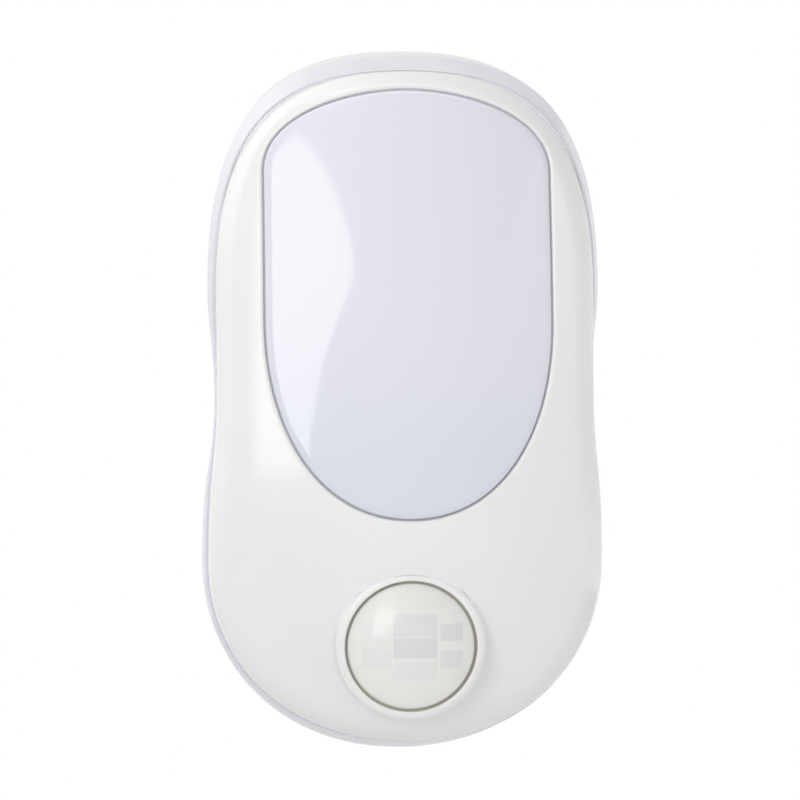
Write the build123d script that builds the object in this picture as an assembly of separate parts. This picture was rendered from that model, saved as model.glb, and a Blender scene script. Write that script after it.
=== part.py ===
from build123d import *
import math
import os

# Plug-in night light with a motion sensor.
#
# Every piece is drawn in the lamp's own drawing frame: X to the right, Y up
# the wall from the middle of the body, Z out from the wall with 0 on the back
# face. place() then turns it into the part's frame: X to the right, Z up,
# -Y out into the room, origin midway between the plug pins on the plug's end.
# All sizes are millimetres.

# ---- body outline at the seam between housing and diffuser ----
SEAM_Z = 9.5
BODY_TOP = 63.6
BODY_BOTTOM = 63.0
UPPER_HALF_WIDTH = 35.9
UPPER_Y = 21.0
WAIST_HALF_WIDTH = 34.6
WAIST_Y = 1.0
LOWER_HALF_WIDTH = 36.7
LOWER_Y = -29.0

# how far the outline's curves reach towards their corners, as shares
TOP_REACH = (0.58, 0.85)
WAIST_REACH = (0.32, 0.45)
HIP_REACH = (0.36, 0.58)
BOTTOM_REACH = (0.55, 0.62)

# insets from the seam outline, in the order top, upper, waist, lower, bottom
REAR_INSETS = (-1.0, 0.9, 0.7, 0.0, -1.6)
COVER_INSETS = (2.7, 1.45, 0.3, 0.8, 1.6)

# ---- front surface ----
APEX_Z = 33.0
APEX_Y = -18.0
CROWN_RADIUS_UP = 210.0
CROWN_RADIUS_DOWN = 90.0
CROWN_RADIUS_ACROSS = 68.0
COVER_EDGE_RADIUS = 4.5

# ---- parting line between diffuser and front cover, an arc seen from the side
PARTING_LOW = 11.5
PARTING_LOW_Y = -14.0
PARTING_RADIUS = 1040.0
SHOULDER_Z = 14.4

# ---- shells ----
HOUSING_WALL = 2.0
HOUSING_FLOOR = 2.0
BACK_EDGE_RADIUS = 1.4
SKIRT_WALL = 1.8
COVER_WALL = 1.8
WEB_THICKNESS = 1.6
WEB_DROP = 0.1
TONGUE_DEPTH = 2.0
TONGUE_WALL = 1.1
TONGUE_CLEARANCE = 0.2
FACE_CLEARANCE = 0.05

# ---- window ----
WINDOW_BORDER_TOP = 3.6
WINDOW_HALF_WIDTH = 26.0
WINDOW_HEIGHT = 77.2
WINDOW_CORNER = 14.8
WINDOW_SIDE = 27.0
WINDOW_CORNER_REACH = (0.40, 0.70)
WINDOW_TIP_REACH = (0.53, 0.66)
WINDOW_GAP = 0.5
PAD_PROUD = 0.15
PAD_WALL = 1.8

# ---- motion sensor ----
PIR_ABOVE_BOTTOM = 18.4
PIR_FACE_Z = 31.2
PIR_TILT = 5.0
COLLAR_RADIUS = 13.5
COLLAR_LIP = 1.0
COLLAR_BORE = 12.0
COLLAR_DEPTH = 9.5
FLANGE_DEPTH = 6.0
FLANGE_THICKNESS = 1.2
FLANGE_RIM = 1.3
SLEEVE_WALL = 1.5
DOME_GAP = 0.65
DOME_RADIUS = 17.0
DOME_WALL = 0.9
DOME_SET_BACK = 0.3
HOLDER_WALL = 1.6
PIR_FIT = 0.15

# ---- plug ----
PLUG_RISE = 10.0
BOSS_DEPTH = 18.0
BOSS_WIDTH = 35.3
BOSS_HEIGHT = 13.7
BOSS_FLAT = 23.0
BOSS_SIDE = 3.0
BOSS_CORNER = 1.5
BOSS_WALL = 2.0
BOSS_END = 3.0
BOSS_FIT = 0.05
BOSS_FLANGE = (26.0, 18.0, 1.6)
PIN_SPACING = 19.0
PIN_RADIUS = 2.0
PIN_LENGTH = 19.0
PIN_NECK_RADIUS = 1.3
PIN_TAIL = 12.0
PIN_COLLAR_RADIUS = 2.6
PIN_COLLAR = 1.5
PIN_TIP_ROUND = 1.2
SLEEVE_RADIUS = 1.75
SLEEVE_LENGTH = 10.0
SLEEVE_ROOT_RADIUS = 2.4
PIN_FIT = 0.05
CARRIER_THICKNESS = 6.0
CARRIER_FIT = 0.15

# ---- case screws ----
CASE_SCREWS = ((27.5, -6.0), (23.5, -44.0))
CASE_POST_RADIUS = 3.0
CASE_BOSS_RADIUS = 4.2
CASE_BOSS_TOP = 6.0
CASE_HEAD_RADIUS = 2.6
CASE_HEAD_HEIGHT = 1.8
CASE_SEAT = 3.4
CASE_SHANK_RADIUS = 1.25
CASE_SHANK = 10.0
SCREW_FIT = 0.05
POST_FIT = 0.3

# ---- driver board and what it carries ----
BOARD_THICKNESS = 1.6
BOARD_HALF_WIDTH = 22.0
BOARD_TOP = 40.0
BOARD_BOTTOM = 33.0
BOARD_STANDOFF = 2.0
BOARD_CORNER = 2.0
STACK_SCREWS = ((17.0, 36.0), (17.0, 4.5))
STACK_BOSS_RADIUS = 2.6
STACK_SCREW_RADIUS = 1.05
STACK_HEAD_RADIUS = 1.9
STACK_HEAD_HEIGHT = 1.4
STACK_BITE = 3.4

# ---- reflector and LED board ----
REFLECTOR_LEG = 6.8
REFLECTOR_LEG_RADIUS = 2.2
REFLECTOR_FLOOR = 1.2
REFLECTOR_RIM = 2.4
REFLECTOR_RIM_WALL = 1.0
REFLECTOR_HALF_WIDTH = 20.8
REFLECTOR_TOP = 44.0
REFLECTOR_BOTTOM = 1.0
LED_BOARD_MARGIN = 0.3
LED_COLUMNS = 3
LED_ROWS = 4
LED_PITCH_X = 12.0
LED_PITCH_Y = 9.0
LED_SIZE = (3.5, 2.8, 0.7)

# ---- sensor board ----
SENSOR_BOARD_Z = 16.0
SENSOR_BOARD_SIZE = (30.0, 26.0)
SENSOR_POSTS = (12.4, 10.2)
SENSOR_POST_RADIUS = 2.4
SENSOR_SCREW_LENGTH = 6.0
CAN_RADIUS = 4.1
CAN_HEIGHT = 4.2
CAN_BRIM_RADIUS = 4.6
CAN_BRIM = 0.5
CAN_WINDOW = (4.0, 3.0)
CAN_WINDOW_THICKNESS = 0.4
CAN_LEAD_CIRCLE = 2.54
LEAD_RADIUS = 0.25
LEAD_LENGTH = 3.2
PHOTO_RADIUS = 1.5
PHOTO_HEIGHT = 4.0
PHOTO_AT = (6.4, 4.6)

# ---- mode switch ----
SWITCH_Y = -20.0
SWITCH_TRAVEL = 2.0
SWITCH_BODY = (4.0, 8.6, 3.5)
SLIDER_SIZE = (4.2, 2.8)
SLIDER_SET_BACK = 0.2
SLIDER_RIBS = 3
SLIDER_RIB_PITCH = 1.5
SLIDER_RIB = 0.5
SLIDER_Z = 5.9
POCKET_DEPTH = 1.4
POCKET_SIZE = (12.0, 4.4)
POCKET_FRAME = (3.0, 0.8)
KEEPER = (13.0, 3.8, 0.8)
SLIDE_FIT = 0.2
FINGER = (1.2, 1.2)
LEVER_HALF = 0.6
BOARD_TAB_HALF = 6.0
NOTCH_CLEAR = 0.3

# ---- wires ----
WIRE_RADIUS = 0.65
LEAD_WIRE_RADIUS = 0.5
SENSOR_WIRE_PITCH = 1.6

SKY = 60.0
SAMPLES = 24

seam_keys = (
    BODY_TOP,
    UPPER_HALF_WIDTH,
    WAIST_HALF_WIDTH,
    LOWER_HALF_WIDTH,
    BODY_BOTTOM,
)


def inset_keys(keys, insets):
    """Move each key of an outline inwards by its own inset."""
    return tuple(k - i for k, i in zip(keys, insets))


def mix_keys(a, b, share):
    return tuple(p + (q - p) * share for p, q in zip(a, b))


rear_keys = inset_keys(seam_keys, REAR_INSETS)
cover_keys = inset_keys(seam_keys, COVER_INSETS)


def section_keys(z, inset=0.0):
    """The body's outline keys at height z, drawn in evenly by inset."""
    if z <= SEAM_Z:
        keys = mix_keys(rear_keys, seam_keys, z / SEAM_Z)
    elif z < SHOULDER_Z:
        keys = mix_keys(seam_keys, cover_keys, (z - SEAM_Z) / (SHOULDER_Z - SEAM_Z))
    else:
        keys = cover_keys
    return tuple(k - inset for k in keys)


def half_curves(keys):
    """Control points of the right half's four curves, from the top down."""
    top, upper, waist, lower, bottom = keys
    crest = top - UPPER_Y
    dip = UPPER_Y - WAIST_Y
    hip = WAIST_Y - LOWER_Y
    foot = bottom + LOWER_Y
    return (
        (
            (0, top),
            (TOP_REACH[0] * upper, top),
            (upper, UPPER_Y + TOP_REACH[1] * crest),
            (upper, UPPER_Y),
        ),
        (
            (upper, UPPER_Y),
            (upper, UPPER_Y - WAIST_REACH[0] * dip),
            (waist, WAIST_Y + WAIST_REACH[1] * dip),
            (waist, WAIST_Y),
        ),
        (
            (waist, WAIST_Y),
            (waist, WAIST_Y - HIP_REACH[0] * hip),
            (lower, LOWER_Y + HIP_REACH[1] * hip),
            (lower, LOWER_Y),
        ),
        (
            (lower, LOWER_Y),
            (lower, LOWER_Y - BOTTOM_REACH[0] * foot),
            (BOTTOM_REACH[1] * lower, -bottom),
            (0, -bottom),
        ),
    )


def closed_wire(curves, z):
    """A wire of the right half's curves and their mirror images."""
    right = [Edge.make_bezier(*[(x, y, z) for x, y in c]) for c in curves]
    left = [
        Edge.make_bezier(*[(-x, y, z) for x, y in reversed(c)])
        for c in reversed(curves)
    ]
    return Wire(right + left)


def curve_point(c, t):
    """The point at t of a cubic curve."""
    s = 1 - t
    weights = (s**3, 3 * s * s * t, 3 * s * t * t, t**3)
    return tuple(sum(w * p[i] for w, p in zip(weights, c)) for i in (0, 1))


def sample(curves):
    """Points along the right half, from the top to the bottom."""
    points = [curve_point(c, i / SAMPLES) for c in curves for i in range(SAMPLES)]
    return points + [curves[-1][-1]]


def half_width(keys, y):
    """The outline's half width at height y."""
    points = sample(half_curves(keys))
    for (x0, y0), (x1, y1) in zip(points, points[1:]):
        if y1 <= y <= y0:
            return x0 + (x1 - x0) * (y0 - y) / max(y0 - y1, 1e-9)
    return 0.0


def section(z, inset=0.0):
    return closed_wire(half_curves(section_keys(z, inset)), z)


def slab(z0, z1, inset=0.0):
    """A solid between two heights that follows the body's taper."""
    return Solid.make_loft([section(z0, inset), section(z1, inset)], ruled=True)


def prism(wire, height):
    return Solid.extrude(Face(wire), Vector(0, 0, height))


def cylinder(x, y, z0, z1, radius):
    base = Plane((x, y, z0))
    return Solid.make_cylinder(radius, z1 - z0, base)


def block(x0, x1, y0, y1, z0, z1):
    return Solid.make_box(x1 - x0, y1 - y0, z1 - z0, Plane((x0, y0, z0)))


def mirrored(points):
    return [(side * x, y) for x, y in points for side in (1, -1)]


def one(shape):
    """The single solid that a shape holds."""
    solids = shape.solids()
    return max(solids, key=lambda s: s.volume)


# ---- the front surface as a height above the wall ----


def bowed(t, radius):
    """The drop of a nearly circular bow at distance t from its top."""
    return t * t / (2 * radius) * (1 + t * t / (4 * radius * radius))


def parting(y):
    t = y - PARTING_LOW_Y
    return PARTING_LOW + PARTING_RADIUS - math.sqrt(PARTING_RADIUS**2 - t * t)


def crown(x, y):
    """The front surface: crowned up the wall and across it."""
    t = y - APEX_Y
    along = bowed(t, CROWN_RADIUS_UP if t > 0 else CROWN_RADIUS_DOWN)
    return APEX_Z - along - bowed(x, CROWN_RADIUS_ACROSS)


def below(height, thickness):
    """A surface lowered so that the wall keeps its thickness square to it."""

    def lowered(x, y):
        step = 0.5
        gx = (height(x + step, y) - height(x - step, y)) / (2 * step)
        gy = (height(x, y + step) - height(x, y - step)) / (2 * step)
        return height(x, y) - thickness * math.sqrt(1 + gx * gx + gy * gy)

    return lowered


GRID_MARGIN = 3.0
GRID_STEP = 6.0


def space_above(height):
    """The solid space above a height function, wider than the body."""
    reach_x = max(UPPER_HALF_WIDTH, LOWER_HALF_WIDTH) + GRID_MARGIN
    low, high = -BODY_BOTTOM - GRID_MARGIN, BODY_TOP + GRID_MARGIN
    columns = math.ceil(2 * reach_x / GRID_STEP)
    rows = math.ceil((high - low) / GRID_STEP)
    xs = [-reach_x + 2 * reach_x * i / columns for i in range(columns + 1)]
    ys = [low + (high - low) * j / rows for j in range(rows + 1)]
    half = {(round(abs(x), 6), y): 0.0 for x in xs for y in ys}
    for x, y in half:
        half[(x, y)] = height(x, y)
    points = [[(x, y, half[(round(abs(x), 6), y)]) for y in ys] for x in xs]
    surface = Face.make_surface_from_array_of_points(points)
    return Solid.extrude(surface, Vector(0, 0, SKY))


def space_beside_parting(z_end):
    """The space between the parting arc and z_end, across the body."""
    low, high = -BODY_BOTTOM - 2 * GRID_MARGIN, BODY_TOP + 2 * GRID_MARGIN
    reach_x = max(UPPER_HALF_WIDTH, LOWER_HALF_WIDTH) + 2 * GRID_MARGIN
    arc = Edge.make_three_point_arc(
        (-reach_x, low, parting(low)),
        (-reach_x, PARTING_LOW_Y, PARTING_LOW),
        (-reach_x, high, parting(high)),
    )
    sides = Wire.make_polygon(
        [
            (-reach_x, high, parting(high)),
            (-reach_x, high, z_end),
            (-reach_x, low, z_end),
            (-reach_x, low, parting(low)),
        ],
        close=False,
    )
    face = Face(Wire([arc] + sides.edges()))
    return Solid.extrude(face, Vector(2 * reach_x, 0, 0))


above_front = space_above(crown)
above_lining = space_above(below(crown, COVER_WALL))
above_middle = space_above(below(crown, COVER_WALL / 2))
under_parting = space_beside_parting(-SKY)
over_parting = space_beside_parting(SKY)

# ---- the window's outline ----

cover_top = cover_keys[0]
cover_bottom = -cover_keys[4]
window_top = cover_top - WINDOW_BORDER_TOP
window_tip = window_top - WINDOW_HEIGHT


def window_curves(grow):
    """The window's right half: corner, side and tapered foot."""
    w = WINDOW_HALF_WIDTH + grow
    top = window_top + grow
    tip = window_tip - grow
    corner = window_top - WINDOW_CORNER
    foot = corner - WINDOW_SIDE
    third = (corner - foot) / 3
    return (
        (
            (0, top),
            (WINDOW_CORNER_REACH[0] * w, top),
            (w, corner + WINDOW_CORNER_REACH[1] * (top - corner)),
            (w, corner),
        ),
        ((w, corner), (w, corner - third), (w, foot + third), (w, foot)),
        (
            (w, foot),
            (w, foot - WINDOW_TIP_REACH[0] * (foot - tip)),
            (WINDOW_TIP_REACH[1] * w, tip),
            (0, tip),
        ),
    )


def window_prism(grow, z0, z1):
    return prism(closed_wire(window_curves(grow), z0), z1 - z0)


# ---- the motion sensor's tilted frame ----

pir_y = cover_bottom + PIR_ABOVE_BOTTOM
tilt = math.radians(PIR_TILT)
pir_plane = Plane(
    origin=(0, pir_y, PIR_FACE_Z),
    x_dir=(1, 0, 0),
    z_dir=(0, -math.sin(tilt), math.cos(tilt)),
)
bore_radius = COLLAR_BORE
dome_edge_radius = COLLAR_BORE - DOME_GAP
flange_radius = dome_edge_radius + FLANGE_RIM
sleeve_radius = flange_radius + PIR_FIT + SLEEVE_WALL


def on_pir(shape):
    return pir_plane.location * shape


def pir_cylinder(z0, z1, radius):
    return on_pir(Solid.make_cylinder(radius, z1 - z0, Plane((0, 0, z0))))


# ---- shared stations ----

board_back = HOUSING_FLOOR + BOARD_STANDOFF
board_front = board_back + BOARD_THICKNESS
reflector_back = board_front + REFLECTOR_LEG
reflector_front = reflector_back + REFLECTOR_FLOOR
led_front = reflector_front + BOARD_THICKNESS
web_back = SEAM_Z + WEB_DROP
web_front = web_back + WEB_THICKNESS
sensor_front = SENSOR_BOARD_Z + BOARD_THICKNESS
case_points = mirrored(CASE_SCREWS)
stack_points = mirrored(STACK_SCREWS)
sensor_points = mirrored([(SENSOR_POSTS[0], pir_y - SENSOR_POSTS[1])])

slider_keys = section_keys(SLIDER_Z)
wall_x = min(
    half_width(slider_keys, SWITCH_Y + s * POCKET_SIZE[0] / 2) for s in (-1, 0, 1)
)
pocket_x = wall_x - POCKET_DEPTH
pocket_half_y = POCKET_SIZE[0] / 2
pocket_half_z = POCKET_SIZE[1] / 2
slot_half_y = SLIDER_SIZE[0] / 2 + SWITCH_TRAVEL + SLIDE_FIT
slot_half_z = SLIDER_SIZE[1] / 2 + SLIDE_FIT
pocket_wall = HOUSING_WALL
keeper_x = pocket_x - pocket_wall - SLIDE_FIT
finger_tip_x = keeper_x - KEEPER[2] - FINGER[0]
finger_z = board_front + SWITCH_BODY[2] / 2


# ---- plug ----


def boss_face(inset, z):
    """The plug's long six-sided outline, with rounded corners."""
    w, h = BOSS_WIDTH / 2 - inset, BOSS_HEIGHT / 2 - inset
    flat, side = BOSS_FLAT / 2 - inset / 2, BOSS_SIDE / 2
    corners = [(flat, h), (w, side), (w, -side), (flat, -h)]
    corners += [(-x, y) for x, y in reversed(corners)]
    outline = Wire.make_polygon([(x, y + PLUG_RISE, z) for x, y in corners])
    return Face(outline.fillet_2d(BOSS_CORNER, outline.vertices()))


boss_end_z = -BOSS_DEPTH
well_floor = boss_end_z + BOSS_END
pin_xs = (PIN_SPACING / 2, -PIN_SPACING / 2)


def plug_z(out):
    """The height of a plane that lies this far out of the plug's end."""
    return boss_end_z - out


def make_plug_housing():
    """The plug's body: its flange lies on the floor inside the housing."""
    body = Solid.extrude(boss_face(0, boss_end_z), Vector(0, 0, BOSS_DEPTH + HOUSING_FLOOR))
    w, h, t = BOSS_FLANGE
    z0 = HOUSING_FLOOR + FACE_CLEARANCE
    flange = block(-w / 2, w / 2, PLUG_RISE - h / 2, PLUG_RISE + h / 2, z0, z0 + t)
    neck = Solid.extrude(boss_face(0, HOUSING_FLOOR), Vector(0, 0, t))
    well = Solid.extrude(boss_face(BOSS_WALL, well_floor), Vector(0, 0, SKY))
    shape = body + neck + flange - well
    for x in pin_xs:
        hole = SLEEVE_ROOT_RADIUS + PIN_FIT
        shape = shape - cylinder(x, PLUG_RISE, boss_end_z - 1, well_floor + 1, hole)
    return shape


def make_rear_housing():
    shell = slab(0, SEAM_Z)
    back = shell.faces().sort_by(Axis.Z)[0]
    shell = shell.fillet(BACK_EDGE_RADIUS, back.edges())
    cavity = Solid.make_loft(
        [section(HOUSING_FLOOR, HOUSING_WALL), section(SEAM_Z, HOUSING_WALL)],
        ruled=True,
    )
    room = prism(section(SEAM_Z, HOUSING_WALL), 1)
    shell = shell - cavity - room
    opening = Solid.extrude(boss_face(-BOSS_FIT, -1), Vector(0, 0, HOUSING_FLOOR + 2))
    shell = shell - opening
    pad = block(
        pocket_x - pocket_wall,
        pocket_x + POCKET_DEPTH / 2,
        SWITCH_Y - pocket_half_y - POCKET_FRAME[0],
        SWITCH_Y + pocket_half_y + POCKET_FRAME[0],
        HOUSING_FLOOR - 0.5,
        SLIDER_Z + pocket_half_z + POCKET_FRAME[1],
    )
    shell = shell + pad
    for x, y in case_points:
        shell = shell + cylinder(x, y, 0.5, CASE_BOSS_TOP, CASE_BOSS_RADIUS)
    for x, y in stack_points:
        shell = shell + cylinder(x, y, 1, board_back, STACK_BOSS_RADIUS)
    for x, y in sensor_points:
        shell = shell + cylinder(x, y, 1, SENSOR_BOARD_Z, SENSOR_POST_RADIUS)
    for x, y in case_points:
        head = CASE_HEAD_RADIUS + POST_FIT
        shank = CASE_SHANK_RADIUS + POST_FIT
        shell = shell - cylinder(x, y, -1, CASE_SEAT, head)
        shell = shell - cylinder(x, y, 0, CASE_BOSS_TOP + 1, shank)
    for x, y in stack_points:
        pilot = STACK_SCREW_RADIUS + SCREW_FIT
        floor = board_back - STACK_BITE + 0.2
        shell = shell - cylinder(x, y, floor, board_back + 1, pilot)
    for x, y in sensor_points:
        pilot = STACK_SCREW_RADIUS + SCREW_FIT
        floor = sensor_front - SENSOR_SCREW_LENGTH - 0.5
        shell = shell - cylinder(x, y, floor, SENSOR_BOARD_Z + 1, pilot)
    pocket = block(
        pocket_x,
        pocket_x + SKY,
        SWITCH_Y - pocket_half_y,
        SWITCH_Y + pocket_half_y,
        SLIDER_Z - pocket_half_z,
        SLIDER_Z + pocket_half_z,
    )
    slot = block(
        pocket_x - pocket_wall - 1,
        pocket_x + 1,
        SWITCH_Y - slot_half_y,
        SWITCH_Y + slot_half_y,
        SLIDER_Z - slot_half_z,
        SLIDER_Z + slot_half_z,
    )
    return shell - pocket - slot


def make_diffuser():
    top = SHOULDER_Z
    skirt = slab(SEAM_Z + FACE_CLEARANCE, top) - slab(SEAM_Z, top + 1, SKIRT_WALL)
    skirt = skirt - over_parting
    web = slab(web_back, web_front, SKIRT_WALL / 2)
    tongue_inset = HOUSING_WALL + TONGUE_CLEARANCE
    tongue = slab(SEAM_Z - TONGUE_DEPTH, web_front, tongue_inset) - slab(
        SEAM_Z - TONGUE_DEPTH - 1, web_front + 1, tongue_inset + TONGUE_WALL
    )
    shape = skirt + web + tongue
    shape = shape + window_prism(-WINDOW_GAP / 2, web_back, SKY)
    shape = shape - space_above(lambda x, y: crown(x, y) + PAD_PROUD)
    inside = window_prism(-WINDOW_GAP / 2 - PAD_WALL, web_back - 1, SKY)
    inside = inside - space_above(below(crown, PAD_WALL))
    shape = shape - inside
    shape = shape - pir_clearance() - switch_notch()
    for x, y in case_points:
        hole = CASE_POST_RADIUS + POST_FIT
        shape = shape - cylinder(x, y, web_back - 1, web_front + 1, hole)
    return shape


def pir_clearance():
    """The hole in the web that lets the sensor's board and holder through."""
    w, h = SENSOR_BOARD_SIZE[0] / 2 + 1, SENSOR_BOARD_SIZE[1] / 2 + 1
    return block(-w, w, pir_y - h, pir_y + h, web_back - 1, web_front + 1)


def switch_notch():
    """The gap in the tongue that clears the switch's pocket."""
    reach = pocket_half_y + POCKET_FRAME[0] + NOTCH_CLEAR
    z0, z1 = SEAM_Z - TONGUE_DEPTH - 1, web_back - FACE_CLEARANCE
    return block(pocket_x - pocket_wall - 3, SKY, SWITCH_Y - reach, SWITCH_Y + reach, z0, z1)


def cushion(keys, z0, above, radius):
    """A solid under a crowned surface, with its upper edge rounded."""
    solid = prism(closed_wire(half_curves(keys), z0), SKY) - above
    crowned = solid.faces().sort_by(Axis.Z)[-1]
    return solid.fillet(radius, crowned.edges())


def make_front_cover():
    z0 = CASE_BOSS_TOP
    outer = cushion(cover_keys, z0, above_front, COVER_EDGE_RADIUS)
    lining_keys = inset_keys(cover_keys, (COVER_WALL,) * 5)
    lining_radius = COVER_EDGE_RADIUS - COVER_WALL
    inner = cushion(lining_keys, z0 - 1, above_lining, lining_radius)
    shape = outer - inner
    for x, y in case_points:
        post = cylinder(x, y, CASE_BOSS_TOP, SKY, CASE_POST_RADIUS)
        shape = shape + (post - above_middle)
    sleeve = pir_cylinder(-COLLAR_DEPTH, -FLANGE_DEPTH, sleeve_radius)
    shape = shape + (sleeve - above_middle)
    collar = Solid.make_cylinder(COLLAR_RADIUS, COLLAR_DEPTH, Plane((0, 0, -COLLAR_DEPTH)))
    top_edge = collar.edges().sort_by(Axis.Z)[-1]
    collar = collar.fillet(COLLAR_LIP, [top_edge])
    shape = shape + on_pir(collar)
    shape = shape - pir_cylinder(-COLLAR_DEPTH - 1, SKY, bore_radius)
    seat = flange_radius + PIR_FIT
    shape = shape - pir_cylinder(-COLLAR_DEPTH - 1, -FLANGE_DEPTH, seat)
    shape = shape - window_prism(WINDOW_GAP / 2, z0 - 1, SKY)
    keep_posts = [
        cylinder(x, y, CASE_BOSS_TOP, PARTING_LOW + 3, CASE_POST_RADIUS)
        for x, y in case_points
    ]
    shape = shape - under_parting
    for post in keep_posts:
        shape = shape + post
    for x, y in case_points:
        pilot = CASE_SHANK_RADIUS + SCREW_FIT
        depth = CASE_SEAT + CASE_SHANK + 0.5
        shape = shape - cylinder(x, y, CASE_BOSS_TOP - 1, depth, pilot)
    return shape


def make_pir_lens():
    """A shallow dome on a short skirt, with a flange that the collar traps."""
    edge = -DOME_SET_BACK
    drop = math.sqrt(DOME_RADIUS**2 - dome_edge_radius**2)
    inner = DOME_RADIUS - DOME_WALL
    ball = Solid.make_sphere(DOME_RADIUS, Plane((0, 0, edge - drop)), -90, 90)
    hollow = Solid.make_sphere(inner, Plane((0, 0, edge - drop)), -90, 90)
    foot = -FLANGE_DEPTH - FLANGE_THICKNESS
    column = Solid.make_cylinder(dome_edge_radius, SKY, Plane((0, 0, foot)))
    flange = Solid.make_cylinder(flange_radius, FLANGE_THICKNESS, Plane((0, 0, foot)))
    skirt = Solid.make_cylinder(dome_edge_radius, edge - foot, Plane((0, 0, foot)))
    cap = ball & column
    cap = cap - Solid.make_box(SKY, SKY, SKY, Plane((-SKY / 2, -SKY / 2, edge - SKY)))
    well = Solid.make_cylinder(
        dome_edge_radius - DOME_WALL, edge - foot + 1, Plane((0, 0, foot - 1))
    )
    room = hollow & Solid.make_cylinder(
        dome_edge_radius - DOME_WALL, SKY, Plane((0, 0, foot - 1))
    )
    room = room - Solid.make_box(SKY, SKY, SKY, Plane((-SKY / 2, -SKY / 2, edge - SKY)))
    shape = cap + skirt + flange - well - room
    lift = Location((0, 0, -FACE_CLEARANCE))
    return on_pir(lift * shape)


def make_pir_holder():
    """A tube from the sensor board up to the dome's flange."""
    top = -FLANGE_DEPTH - FLANGE_THICKNESS - 2 * FACE_CLEARANCE
    outer = Solid.make_cylinder(flange_radius, SKY, Plane((0, 0, top - SKY)))
    bore = Solid.make_cylinder(
        flange_radius - HOLDER_WALL, SKY + 2, Plane((0, 0, top - SKY - 1))
    )
    tube = on_pir(outer - bore)
    return tube - block(-SKY, SKY, -2 * SKY, SKY, -2 * SKY, sensor_front)


def make_pir_sensor():
    can = cylinder(0, pir_y, sensor_front, sensor_front + CAN_HEIGHT, CAN_RADIUS)
    brim = cylinder(0, pir_y, sensor_front, sensor_front + CAN_BRIM, CAN_BRIM_RADIUS)
    w, h = CAN_WINDOW[0] / 2, CAN_WINDOW[1] / 2
    top = sensor_front + CAN_HEIGHT
    seat = block(-w, w, pir_y - h, pir_y + h, top - CAN_WINDOW_THICKNESS, top + 1)
    return can + brim - seat


def make_pir_window():
    w, h = CAN_WINDOW[0] / 2 - SCREW_FIT, CAN_WINDOW[1] / 2 - SCREW_FIT
    top = sensor_front + CAN_HEIGHT
    return block(-w, w, pir_y - h, pir_y + h, top - CAN_WINDOW_THICKNESS, top)


def lead_places():
    """The sensor can's three leads, as offsets from its centre."""
    angles = (90, 210, 330)
    r = CAN_LEAD_CIRCLE
    return [
        (r * math.cos(math.radians(a)), r * math.sin(math.radians(a))) for a in angles
    ]


def make_sensor_leads():
    z0 = sensor_front - LEAD_LENGTH
    return Compound(
        [
            cylinder(x, pir_y + y, z0, sensor_front, LEAD_RADIUS)
            for x, y in lead_places()
        ]
    )


def make_light_sensor():
    x, y = PHOTO_AT
    body = cylinder(x, pir_y + y, sensor_front, sensor_front + PHOTO_HEIGHT, PHOTO_RADIUS)
    tip = body.edges().sort_by(Axis.Z)[-1]
    return body.fillet(PHOTO_RADIUS * 0.8, [tip])


def make_sensor_board():
    w, h = SENSOR_BOARD_SIZE[0] / 2, SENSOR_BOARD_SIZE[1] / 2
    board = block(-w, w, pir_y - h, pir_y + h, SENSOR_BOARD_Z, sensor_front)
    board = board.fillet(BOARD_CORNER * 2, board.edges().filter_by(Axis.Z))
    for x, y in sensor_points:
        hole = STACK_SCREW_RADIUS + SCREW_FIT
        board = board - cylinder(x, y, SENSOR_BOARD_Z - 1, sensor_front + 1, hole)
    for x, y in lead_places():
        hole = LEAD_RADIUS + SCREW_FIT
        board = board - cylinder(
            x, pir_y + y, SENSOR_BOARD_Z - 1, sensor_front + 1, hole
        )
    return board


def screw(x, y, seat, length, shank, head, head_height, into=-1):
    """A pan-head screw: its head on the seat plane, its shank along into."""
    if into < 0:
        body = cylinder(x, y, seat - length, seat + head_height / 2, shank)
        cap = cylinder(x, y, seat, seat + head_height, head)
        rim = cap.edges().sort_by(Axis.Z)[-1]
        cross_z0, cross_z1 = seat + head_height * 0.45, seat + head_height + 1
    else:
        body = cylinder(x, y, seat - head_height / 2, seat + length, shank)
        cap = cylinder(x, y, seat - head_height, seat, head)
        rim = cap.edges().sort_by(Axis.Z)[0]
        cross_z0, cross_z1 = seat - head_height - 1, seat - head_height * 0.45
    cap = cap.fillet(head_height * 0.4, [rim])
    long, thin = head * 0.55, head * 0.14
    cross = block(x - long, x + long, y - thin, y + thin, cross_z0, cross_z1)
    cross = cross + block(x - thin, x + thin, y - long, y + long, cross_z0, cross_z1)
    return cap + body - cross


def make_case_screws():
    return Compound(
        [
            one(
                screw(
                    x,
                    y,
                    CASE_SEAT,
                    CASE_SHANK,
                    CASE_SHANK_RADIUS,
                    CASE_HEAD_RADIUS,
                    CASE_HEAD_HEIGHT,
                    into=1,
                )
            )
            for x, y in case_points
        ]
    )


def make_stack_screws():
    length = led_front - board_back + STACK_BITE - 0.5
    return Compound(
        [
            one(
                screw(
                    x,
                    y,
                    led_front,
                    length,
                    STACK_SCREW_RADIUS,
                    STACK_HEAD_RADIUS,
                    STACK_HEAD_HEIGHT,
                )
            )
            for x, y in stack_points
        ]
    )


def make_sensor_screws():
    return Compound(
        [
            one(
                screw(
                    x,
                    y,
                    sensor_front,
                    SENSOR_SCREW_LENGTH,
                    STACK_SCREW_RADIUS,
                    STACK_HEAD_RADIUS,
                    STACK_HEAD_HEIGHT,
                )
            )
            for x, y in sensor_points
        ]
    )


switch_body_x = finger_tip_x - SWITCH_BODY[0] + FINGER[0] - SLIDE_FIT
board_tab_x = switch_body_x + SWITCH_BODY[0]


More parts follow.
